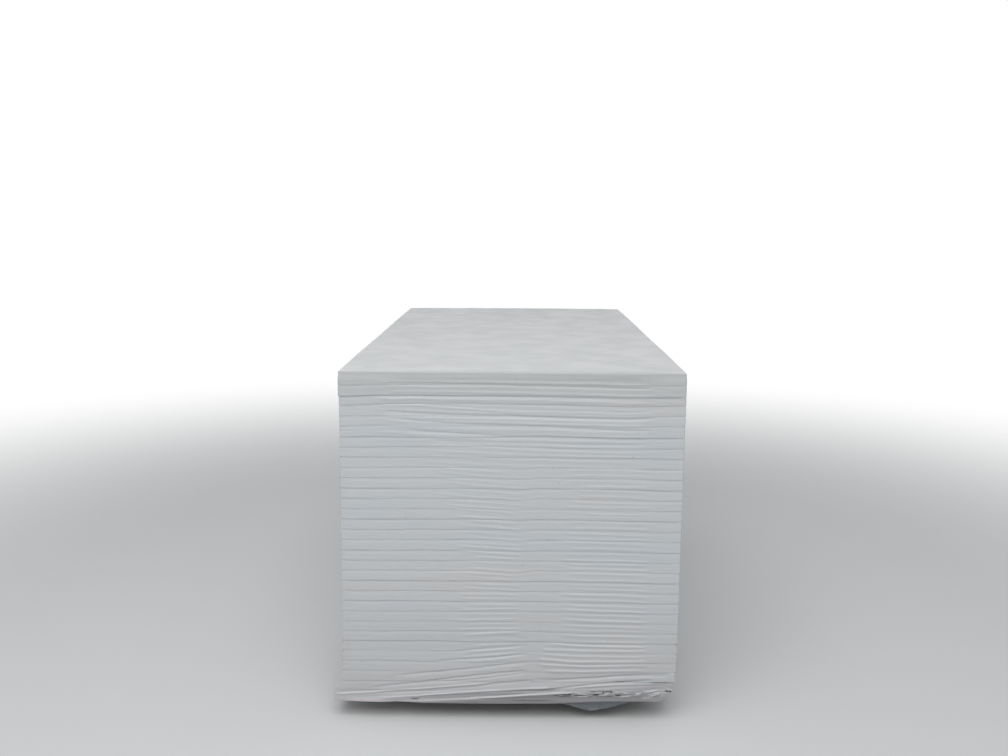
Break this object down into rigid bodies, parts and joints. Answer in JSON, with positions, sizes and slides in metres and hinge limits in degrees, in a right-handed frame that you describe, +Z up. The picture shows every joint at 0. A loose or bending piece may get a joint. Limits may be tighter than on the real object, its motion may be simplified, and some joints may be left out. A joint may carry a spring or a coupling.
{
  "type": "wrapped bundle of polyiso insulation boards",
  "caption": "Stack of rigid foam roof insulation boards in white shrink film, raised on foam strips so that forks can lift it from either long side.",
  "frame": {"origin": "on the floor under the middle of the bundle's box", "axes": "+Z up, +Y along the boards, the end with the torn hem faces -Y"},
  "size_m": [1.255, 2.4392, 1.302],
  "materials": {
    "foam_board": "closed-cell foam with cut edges and grey felt facers",
    "white_film": "opaque white polyethylene shrink film, satin, finely wrinkled",
    "foot_foam": "cut rigid foam"
  },
  "bodies": {
    "root": {"boards": "foam_board", "shrink_film": "white_film", "foot_strip_front": "foot_foam", "foot_strip_middle": "foot_foam", "foot_strip_back": "foot_foam"}
  },
  "joints": []
}
